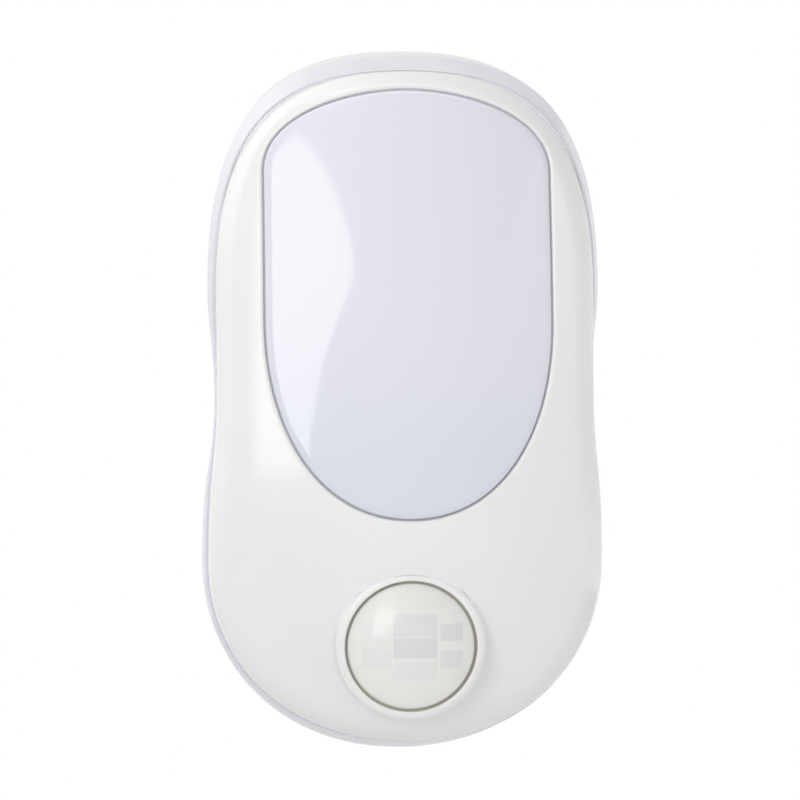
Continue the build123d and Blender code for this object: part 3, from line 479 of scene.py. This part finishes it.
def make_dome():
    """The lens: (radius, height, normal) stations turned round its axis."""
    shell = Shell()
    centre = DOME_EDGE - math.sqrt(DOME_RADIUS**2 - DOME**2)
    profile = [(BORE, FLANGE_Z, 0, 1), (DOME, FLANGE_Z, 0.2, 1), (DOME, FLANGE_Z + 0.05, 1, 0)]
    profile += [(DOME, DOME_EDGE - 0.35, 1, 0)]
    profile += arc(DOME - DOME_ROLL, DOME_EDGE - 0.32, DOME_ROLL, 8, 40, 4)
    rim = math.degrees(math.acos((DOME - 0.25) / DOME_RADIUS))
    profile += arc(0, centre, DOME_RADIUS, rim, 90, 40)[:-1]
    a = np.arange(TURNED_COUNT) / TURNED_COUNT * 2 * math.pi
    s, c = math.sin(PIR_TILT), math.cos(PIR_TILT)
    last = None
    for radius, h, nr, nh in profile:
        x, y = radius * np.sin(a), radius * np.cos(a)
        p = np.stack((x, PIR_Y + y * c - h * s, PIR_Z + y * s + h * c), 1)
        nx, ny = nr * np.sin(a), nr * np.cos(a)
        n = np.stack((nx, ny * c - nh * s, ny * s + nh * c), 1)
        n /= np.linalg.norm(n, axis=1, keepdims=True)
        ring = shell.ring(p, n)
        if last is not None:
            shell.bridge(last, ring, flip=True)
        last = ring
    # the last ring closes on the dome's highest point
    h = centre + DOME_RADIUS
    tip, _ = shell.ring([(0, PIR_Y - h * s, PIR_Z + h * c)], [(0, -s, c)])
    start, count = last
    shell.f += [(start + (k + 1) % count, start + k, tip) for k in range(count)]
    return shell.finish("sensor_dome")


# ---------------------------------------------------------------- nodes


class Nodes:
    """A node tree that is built node by node."""

    def __init__(self, tree):
        self.tree = tree

    def feed(self, socket, value):
        """Links a socket, or sets its value."""
        if isinstance(value, Term):
            value = value.socket
        if isinstance(value, bpy.types.NodeSocket):
            self.tree.links.new(value, socket)
        else:
            socket.default_value = value

    def node(self, kind, settings={}, inputs={}, out=0):
        """One node: its settings first, then its sockets. Gives an output."""
        made = self.tree.nodes.new(kind)
        for key, value in settings.items():
            setattr(made, key, value)
        for key, value in inputs.items():
            self.feed(made.inputs[key], value)
        return Term(self, made.outputs[out]) if made.outputs else None


class Term:
    """A socket that can be added, multiplied and so on."""

    def __init__(self, nodes, socket):
        self.nodes, self.socket = nodes, socket

    def math(self, kind, *others):
        inputs = dict(enumerate((self,) + others))
        return self.nodes.node("ShaderNodeMath", {"operation": kind}, inputs)

    def __add__(self, o):
        return self.math("ADD", o)

    def __sub__(self, o):
        return self.math("SUBTRACT", o)

    def __rsub__(self, o):
        return self * -1.0 + o

    def __mul__(self, o):
        return self.math("MULTIPLY", o)

    __radd__ = __add__
    __rmul__ = __mul__

    def abs(self):
        return self.math("ABSOLUTE")

    def max(self, o):
        return self.math("MAXIMUM", o)

    def root(self):
        return self.math("SQRT")

    def step(self, low, high, a=0.0, b=1.0):
        """A smooth step from a at low to b at high."""
        limits = {"From Min": low, "From Max": high, "To Min": a, "To Max": b}
        return self.nodes.node(
            "ShaderNodeMapRange", {"interpolation_type": "SMOOTHSTEP"}, {"Value": self, **limits}
        )


class ShapeTree(Nodes):
    """A geometry nodes group with named sizes."""

    def __init__(self, name):
        super().__init__(bpy.data.node_groups.new(name, "GeometryNodeTree"))
        self.start = self.tree.nodes.new("NodeGroupInput")
        self.values = {}
        self.socket("Geometry", "Geometry", "OUTPUT")

    def socket(self, name, kind, way="INPUT"):
        return self.tree.interface.new_socket(name, in_out=way, socket_type="NodeSocket" + kind)

    def given(self, name, value, kind="Float"):
        """A named input of the group, and the value that the modifier sets."""
        self.values[self.socket(name, kind).identifier] = value
        return Term(self, self.start.outputs[name])

    def build(self, name, last):
        """Runs the group on an empty mesh and keeps the plain result."""
        self.node("NodeGroupOutput", {}, {"Geometry": last})
        host = place("host", bpy.data.meshes.new("host"))
        modifier = host.modifiers.new("build", "NODES")
        modifier.node_group = self.tree
        for key, value in self.values.items():
            modifier[key] = value
        ready = host.evaluated_get(bpy.context.evaluated_depsgraph_get())
        mesh = bpy.data.meshes.new_from_object(ready)
        bpy.data.objects.remove(host)
        mesh.name = name
        return place(name, mesh)


def make_collar(material):
    """The raised ring round the sensor: a rounded section turned on its axis."""
    tree = ShapeTree("turned_collar")
    bore = tree.given("Bore Radius", BORE)
    outer = tree.given("Outer Radius", COLLAR_RIM)
    inner_roll = tree.given("Inner Roll", 0.24)
    outer_roll = tree.given("Outer Roll", 1.45)
    depth = tree.given("Depth", COLLAR_DEPTH)
    lean = tree.given("Lean", math.radians(90) + PIR_TILT)
    finish = tree.given("Finish", material.m, "Material")
    # the section's corners: x outwards from the outer radius, y down from the rim
    inwards = bore - outer
    corners = ((0.0, depth), (0.0, 0.0), (inwards, 0.0), (inwards, depth))
    points = {}
    for i, (x, y) in enumerate(corners):
        points["Point " + str(i + 1)] = tree.node("ShaderNodeCombineXYZ", {}, {"X": x, "Y": y})
    section = tree.node("GeometryNodeCurvePrimitiveQuadrilateral", {"mode": "POINTS"}, points)
    index = tree.node("GeometryNodeInputIndex")
    same = 0.1
    at_outer, at_inner = (index.math("COMPARE", i, same) for i in (1.0, 2.0))
    roll = at_outer * outer_roll + at_inner * inner_roll
    rounded = {"Curve": section, "Count": 14, "Radius": roll}
    section = tree.node("GeometryNodeFilletCurve", {"mode": "POLY"}, rounded)
    size = {"Resolution": TURNED_COUNT, "Radius": outer}
    path = tree.node("GeometryNodeCurvePrimitiveCircle", {"mode": "RADIUS"}, size)
    ring = tree.node("GeometryNodeCurveToMesh", {}, {"Curve": path, "Profile Curve": section})
    angles = tree.node("ShaderNodeCombineXYZ", {}, {"X": lean})
    spot = {
        "Geometry": ring,
        "Translation": Vector((0, -BOSS - PIR_Z, PIR_Y - RISE)) * MM,
        "Rotation": tree.node("FunctionNodeEulerToRotation", {}, {0: angles}),
        "Scale": (MM, MM, MM),
    }
    ring = tree.node("GeometryNodeTransform", {}, spot)
    ring = tree.node("GeometryNodeFlipFaces", {}, {"Mesh": ring})
    ring = tree.node("GeometryNodeSetShadeSmooth", {}, {0: ring})
    ring = tree.node("GeometryNodeRealizeInstances", {}, {0: ring})
    ring = tree.node("GeometryNodeSetMaterial", {}, {"Geometry": ring, "Material": finish})
    return tree.build("sensor_collar", ring)


# ---------------------------------------------------------------- materials


def linear(c):
    """An 8-bit display colour as scene-linear."""
    out = []
    for v in c:
        v = v / 255
        out.append(v / 12.92 if v <= 0.04045 else ((v + 0.055) / 1.055) ** 2.4)
    return tuple(out) + (1.0,)


def shade(color, share):
    return tuple(c * share for c in color)


class Mat(Nodes):
    """A material with one main shader, and patterns in millimetres."""

    def __init__(self, name, color, rough=0.3, metal=0.0, **more):
        self.m = bpy.data.materials.new(name)
        self.m.use_nodes = True
        super().__init__(self.m.node_tree)
        self.bsdf = self.tree.nodes["Principled BSDF"]
        self.set("Base Color", linear(color))
        self.set("Roughness", rough)
        self.set("Metallic", metal)
        for key, value in more.items():
            self.set(key.replace("_", " "), value)
        self.object = self.node("ShaderNodeTexCoord", out="Object")

    def set(self, name, value):
        self.feed(self.bsdf.inputs[name], value)

    def axes(self):
        """The object's x, y and z in millimetres."""
        split = self.tree.nodes.new("ShaderNodeSeparateXYZ")
        self.feed(split.inputs[0], self.object)
        return tuple(Term(self, o) * 1000.0 for o in split.outputs)

    def noise(self, size_mm, detail=2.0, where=None):
        inputs = {"Vector": where or self.object, "Scale": 1000.0 / size_mm, "Detail": detail}
        return self.node("ShaderNodeTexNoise", {}, inputs)

    def mix(self, factor, a, b):
        """A colour between a and b, each an 8-bit colour or a link."""
        a, b = (v if isinstance(v, Term) else linear(v) for v in (a, b))
        color_a, color_b, color_out = 6, 7, 2
        inputs = {0: factor, color_a: a, color_b: b}
        return self.node("ShaderNodeMix", {"data_type": "RGBA"}, inputs, color_out)

    def bump(self, height, strength, distance_mm):
        inputs = {"Height": height, "Strength": strength, "Distance": distance_mm * MM}
        self.set("Normal", self.node("ShaderNodeBump", {}, inputs))

    def polish(self, rough):
        """A polish that is nowhere quite the same."""
        spots = self.noise(9.0).step(0.3, 0.7, rough - 0.02, rough + 0.02)
        self.set("Roughness", spots)


def gloss_white(name, color, rough, ior=1.5):
    """Polished moulded plastic with a faint flow tone."""
    m = Mat(name, color, rough, IOR=ior)
    dark = tuple(c - 2 for c in color)
    m.set("Base Color", m.mix(m.noise(35.0, 1.0).step(0.3, 0.7), dark, color))
    m.polish(rough)
    return m


def opal_plastic():
    """Polished opal plastic, darker and bluer towards the window's foot: partly the opal's own
    tint, partly painted shade.
    """
    high, low = (224, 224, 233), (217, 220, 230)
    m = Mat("opal_plastic", high, 0.07, IOR=1.585)
    height = m.axes()[2]
    # partly painted shade: the base colour turns darker and bluer towards the window's foot
    m.set("Base Color", m.mix(height.step(-32.0, 12.0), low, high))
    m.polish(0.07)
    return m


def moulded(name, color, rough, grain=0.35, depth=0.02):
    """Plain moulded plastic or rubber with a fine grain."""
    m = Mat(name, color, rough)
    fine = m.noise(grain)
    m.set("Base Color", m.mix(m.noise(4.0).step(0.3, 0.7), shade(color, 0.93), color))
    m.set("Roughness", fine.step(0.2, 0.8, rough - 0.06, rough + 0.06))
    if depth:
        m.bump(fine, 0.3, depth)
    return m


def metal(name, color, rough, along=None):
    """Plated or bare metal, with a mottled grain, or one drawn out along the piece."""
    m = Mat(name, color, rough, 1.0)
    if along:
        drawn = m.node("ShaderNodeMapping", {}, {"Vector": m.object, "Scale": along})
        streak = m.noise(0.4, where=drawn)
    else:
        streak = m.noise(0.5, 3.0)
    m.set("Base Color", m.mix(streak.step(0.2, 0.8), shade(color, 0.9), color))
    m.set("Roughness", streak.step(0.2, 0.8, rough - 0.05, rough + 0.08))
    m.bump(streak, 0.15, 0.01)
    return m


# the lens facets: centre x and z, half width and height, and depth of tone
FACETS = (
    (0.5, 4.1, 4.0, 2.0, 0.72),
    (0.5, 0.1, 4.0, 1.85, 1.0),
    (0.5, -4.1, 4.0, 1.7, 0.3),
    (7.1, 2.8, 2.1, 1.55, 0.85),
    (7.1, -2.1, 2.1, 1.55, 0.6),
    (-6.4, 2.3, 2.6, 2.05, 0.2),
    (-6.4, -2.0, 2.6, 1.95, 0.3),
)


def dome_material():
    """Milky lens film: a grid of fine ring lenses shows through as tones."""
    m = Mat("sensor_film", (231, 232, 231), 0.03, Specular_IOR_Level=0.4)
    x, _, z = m.axes()
    z = z - (PIR_Y - RISE)
    total = None
    for cx, cz, w, h, depth in FACETS:
        dx, dz = x - cx, z - cz
        inside = (dx.abs() - w).max(dz.abs() - h)
        rings = ((dx * dx + dz * dz).root() * 12.0).math("SINE")
        tone = inside.step(-0.12, 0.12, depth, 0.0) * (0.95 + 0.05 * rings)
        total = total.max(tone) if total else tone
    # painted shade on the film's upper half and painted light on its lower half, to even out the
    # light that falls from above
    rise = z.step(-11.0, 11.0)
    clear = m.mix(rise, (237, 237, 234), (229, 229, 227))
    ringed = m.mix(rise, (222, 224, 223), (214, 216, 216))
    film = m.mix(total, clear, ringed)
    # the flange down in the gap round the dome is painted olive grey: partly its own brownish tone,
    # partly painted shade of the gap
    radius = (x * x + z * z).root()
    shaded_flange = radius.step(DOME + 0.02, DOME + 0.1)
    m.set("Base Color", m.mix(shaded_flange, film, (186, 181, 165)))
    return m


shell_white = gloss_white("cover_plastic", (236, 236, 235), 0.13, 1.54)
housing_white = gloss_white("housing_plastic", (218, 218, 217), 0.22)
opal_mat = opal_plastic()
dome_mat = dome_material()

# ---------------------------------------------------------------- pieces

cover = make_cover()
collar = make_collar(shell_white)
dome = make_dome()
opal = make_opal()

for piece, mat, body, slot in (
    (cover, shell_white, "lamp", "cover_white"),
    (collar, shell_white, "lamp", "cover_white"),
    (dome, dome_mat, "lamp", "pir_film"),
    (opal, opal_mat, "lamp", "opal"),
):
    piece.data.materials.clear()
    piece.data.materials.append(mat.m)
    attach(piece, body)

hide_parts("front_cover")
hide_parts("pir_lens")
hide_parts("diffuser")

board = moulded("board_green", (38, 92, 58), 0.35, 0.8, 0.01)
steel = metal("screw_steel", (190, 190, 188), 0.3)
tinned = metal("tinned", (205, 205, 202), 0.25)
nickel = metal("pin_nickel", (206, 202, 192), 0.22, (1, 0.05, 1))
black = moulded("black_plastic", (38, 38, 40), 0.5)
thin_black = moulded("wire_black", (30, 30, 30), 0.45)
sleeve = moulded("sleeve_black", (34, 34, 36), 0.5)
can = moulded("can_sleeve", (32, 38, 66), 0.3)
NODE_MATS = {
    "rear_housing": housing_white,
    "plug_housing": housing_white,
    "front_cover": shell_white,
    "diffuser": opal_mat,
    "pir_lens": dome_mat,
    "pir_lens_holder": black,
    "pir_sensor": tinned,
    "pir_sensor_window": metal("filter_dark", (70, 62, 78), 0.12),
    "pir_sensor_leads": tinned,
    "light_sensor": moulded("clear_resin", (206, 214, 222), 0.08, 1.0, 0.0),
    "sensor_board": board,
    "sensor_board_screws": steel,
    "sensor_wires": thin_black,
    "driver_board": board,
    "film_capacitor": moulded("film_yellow", (206, 156, 46), 0.4),
    "bridge_rectifier": black,
    "control_chip": black,
    "choke": moulded("choke_dark", (58, 56, 54), 0.7),
    "bulk_capacitor": can,
    "filter_capacitor": can,
    "fusible_resistor": moulded("resistor_blue", (104, 146, 176), 0.35),
    "chip_resistors": moulded("chip_grey", (44, 44, 44), 0.5),
    "reflector": moulded("reflector_white", (240, 240, 238), 0.45),
    "led_board": moulded("board_white", (236, 236, 230), 0.35),
    "led_chips": moulded("led_phosphor", (232, 206, 110), 0.25),
    "led_wires": thin_black,
    "stack_screws": steel,
    "case_screws": steel,
    "switch_body": black,
    "mode_slider": moulded("slider_white", (214, 214, 210), 0.45, 0.3),
    "pin_carrier": moulded("carrier_white", (206, 206, 200), 0.5),
    "plug_pin_left": nickel,
    "plug_pin_right": nickel,
    "pin_sleeve_left": sleeve,
    "pin_sleeve_right": sleeve,
    "live_wire": moulded("wire_brown", (92, 58, 36), 0.45),
    "neutral_wire": moulded("wire_blue", (38, 80, 156), 0.45),
}
for name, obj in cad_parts.items():
    mat = NODE_MATS[name].m
    for obj_slot in obj.material_slots:
        obj_slot.material = mat
    if not obj.material_slots:
        obj.data.materials.append(mat)

# ---------------------------------------------------------------- camera

YAW, PITCH = math.radians(4.0), math.radians(2.9)
PICTURE_PX = 800
CENTRE_PX = 399.3
RANGE_MM = 1100.0
NEAR_FACE_MM = 31.0
MM_PER_PX = 0.18
FOCAL_PX = (RANGE_MM - NEAR_FACE_MM) / MM_PER_PX
right = Vector((math.cos(YAW), -math.sin(YAW), 0))
ahead = Vector((math.sin(YAW) * math.cos(PITCH), math.cos(YAW) * math.cos(PITCH), -math.sin(PITCH)))
up = Vector((math.sin(YAW) * math.sin(PITCH), math.cos(YAW) * math.sin(PITCH), math.cos(PITCH)))
target = Vector(row((0, 0, 0)))
shift = (PICTURE_PX / 2 - CENTRE_PX) / FOCAL_PX * RANGE_MM * MM
eye = target - ahead * RANGE_MM * MM + right * shift
cam = bpy.data.cameras.new("camera")
cam.sensor_width = 36.0
cam.lens = FOCAL_PX * cam.sensor_width / PICTURE_PX
cam.clip_start = 0.05
cam_obj = place("camera", cam)
turn = Matrix((right, up, -ahead)).transposed()
cam_obj.matrix_world = Matrix.Translation(eye) @ turn.to_4x4()
bpy.context.scene.camera = cam_obj

# ---------------------------------------------------------------- light

PANEL_RANGE = 1.5
POWER = {
    "softbox": 3.5,
    "right": 0.9,
    "left_wide": 0.55,
    "top": 2.95,
    "behind": 1.0,
    "right_side": 2.0,
    "high_left": 1.85,
    "front": 1.05,
}
# the panels' corners, in degrees to the right and up
LEFT_CARD = (
    (-33.7, 35.2),
    (-28.5, 34.3),
    (-23.4, 32.4),
    (-17.6, 28.4),
    (-13.9, 23.1),
    (-14.6, 20.3),
    (-19.3, 16.3),
    (-23.8, 11.6),
    (-27.5, 4.5),
    (-29, -1),
    (-45.5, -1),
    (-45.5, 24),
    (-43.1, 31.7),
)
RIGHT_CARD = ((54, 33), (43, 27), (36, 18.6), (31.5, 11.6), (29, 4.5), (24, -5), (45, -25), (85, 5))
LEFT_WIDE = ((-47, 58), (-88, 58), (-88, -10), (-47, -10))
TOP_CARD = ((-60, 52), (-60, 75), (60, 75), (60, 52))
# soft light from all round: its direction, and how tight it is
LOBES = (
    ("behind", (0, 1, 0), 1.0),
    ("right_side", (0.8, 0.0, -0.6), 3.0),
    ("high_left", (-0.72, 0.0, 0.69), 3.0),
    ("front", (0, -1, 0), 2.0),
)


def toward(azimuth, elevation):
    """A place seen from the lamp, by degrees to the right and up."""
    a, e = math.radians(azimuth), math.radians(elevation)
    d = Vector((math.sin(a) * math.cos(e), -math.cos(a) * math.cos(e), math.sin(e)))
    return target + d * PANEL_RANGE


def panel(name, corners, strength, color=(1, 1, 1)):
    """A glowing panel with its corners at these directions."""
    mesh = bpy.data.meshes.new(name)
    mesh.from_pydata([toward(*c) for c in corners], [], [tuple(range(len(corners)))])
    mat = bpy.data.materials.new(name)
    mat.use_nodes = True
    mat.node_tree.nodes.clear()
    nodes = Nodes(mat.node_tree)
    light = {"Color": tuple(color) + (1,), "Strength": strength}
    glow = nodes.node("ShaderNodeEmission", {}, light)
    nodes.node("ShaderNodeOutputMaterial", {}, {"Surface": glow})
    mesh.materials.append(mat)
    obj = place(name, mesh)
    obj.visible_camera = False


panel("softbox_left", LEFT_CARD, POWER["softbox"], (1, 0.995, 0.98))
panel("softbox_right", RIGHT_CARD, POWER["right"])
panel("left_wide", LEFT_WIDE, POWER["left_wide"])
panel("panel_top", TOP_CARD, POWER["top"])

# the world lights the lamp in soft lobes, and the camera sees it white
world = bpy.data.worlds.new("studio")
bpy.context.scene.world = world
world.use_nodes = True
world.node_tree.nodes.clear()
sky = Nodes(world.node_tree)
way = sky.node("ShaderNodeTexCoord", out="Generated")
lobes = []
for key, lobe, tight in LOBES:
    inputs = {0: way, 1: lobe}
    facing = sky.node("ShaderNodeVectorMath", {"operation": "DOT_PRODUCT"}, inputs, "Value")
    lobes.append(facing.max(0.0).math("POWER", tight) * POWER[key])
fill = {"Color": (1, 1, 1, 1), "Strength": sum(lobes)}
seen = {"Color": (1, 1, 1, 1), "Strength": 1.0}
choice = {
    0: sky.node("ShaderNodeLightPath", out="Is Camera Ray"),
    1: sky.node("ShaderNodeBackground", {}, fill),
    2: sky.node("ShaderNodeBackground", {}, seen),
}
sky.node("ShaderNodeOutputWorld", {}, {"Surface": sky.node("ShaderNodeMixShader", {}, choice)})

# ---------------------------------------------------------------- floor

FLOOR_HALF, FLOOR_Z = 0.9, -0.3
floor_mesh = bpy.data.meshes.new("floor")
floor_corners = ((-1, -1), (1, -1), (1, 1), (-1, 1))
floor_verts = [(x * FLOOR_HALF, y * FLOOR_HALF, FLOOR_Z) for x, y in floor_corners]
floor_mesh.from_pydata(floor_verts, [], [(0, 1, 2, 3)])
floor = place("floor", floor_mesh)
floor_mat = Mat("floor_pale", (228, 228, 228), 0.6)
mottle = floor_mat.noise(60.0).step(0.3, 0.7)
floor_mat.set("Base Color", floor_mat.mix(mottle, (226, 226, 226), (230, 230, 230)))
# seen from the camera, the floor fades into the white round it
fx, fy, _ = floor_mat.axes()
spread = (fx * fx + fy * fy).root().step(250.0, 850.0, 0.75, 1.0)
fade = {
    0: spread * floor_mat.node("ShaderNodeLightPath", out="Is Camera Ray"),
    1: floor_mat.bsdf.outputs[0],
    2: floor_mat.node("ShaderNodeEmission", {}, {"Color": (1, 1, 1, 1)}),
}
surface = floor_mat.tree.nodes["Material Output"].inputs["Surface"]
floor_mat.feed(surface, floor_mat.node("ShaderNodeMixShader", {}, fade))
floor_mesh.materials.append(floor_mat.m)

scene = bpy.context.scene
scene.view_settings.view_transform = "Standard"
